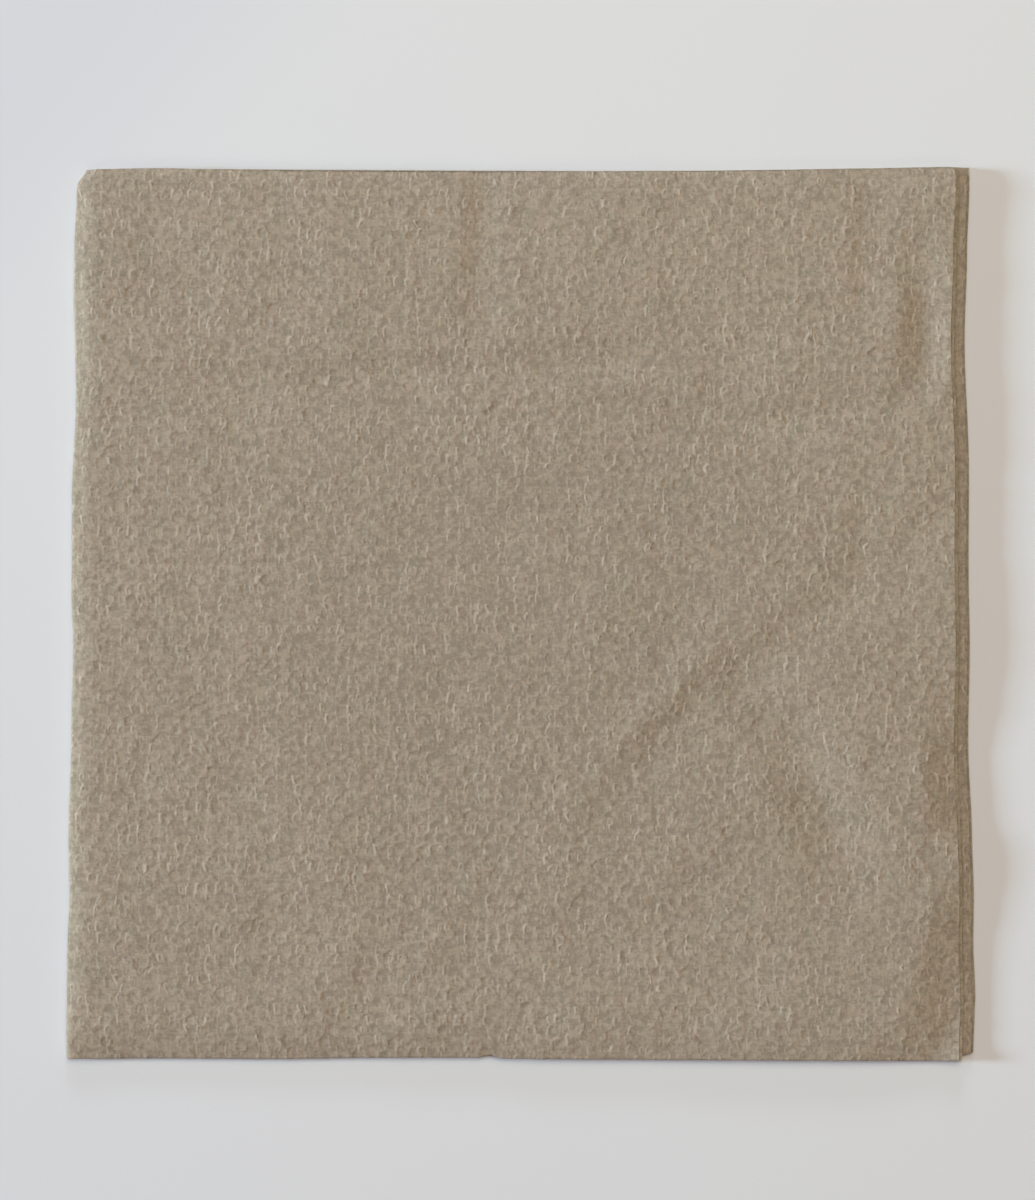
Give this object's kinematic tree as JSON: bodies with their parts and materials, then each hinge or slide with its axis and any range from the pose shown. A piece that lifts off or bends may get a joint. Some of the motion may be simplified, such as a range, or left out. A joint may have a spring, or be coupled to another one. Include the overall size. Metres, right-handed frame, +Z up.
{
  "type": "paper napkin",
  "caption": "Square brown tissue napkin folded in quarters, lying flat, with a closed fold at the left and at the front and cut edges at the right and the back.",
  "frame": {"origin": "under the middle of the folded napkin, on the surface that it lies on", "axes": "+Z up through the layers, +X towards the cut edges opposite the last fold, +Y towards the cut edges opposite the first fold"},
  "size_m": [0.1292, 0.1276, 0.0022],
  "materials": {
    "tissue": "matt, embossed, unbleached recycled tissue"
  },
  "bodies": {
    "root": {"napkin": "tissue"}
  },
  "joints": []
}
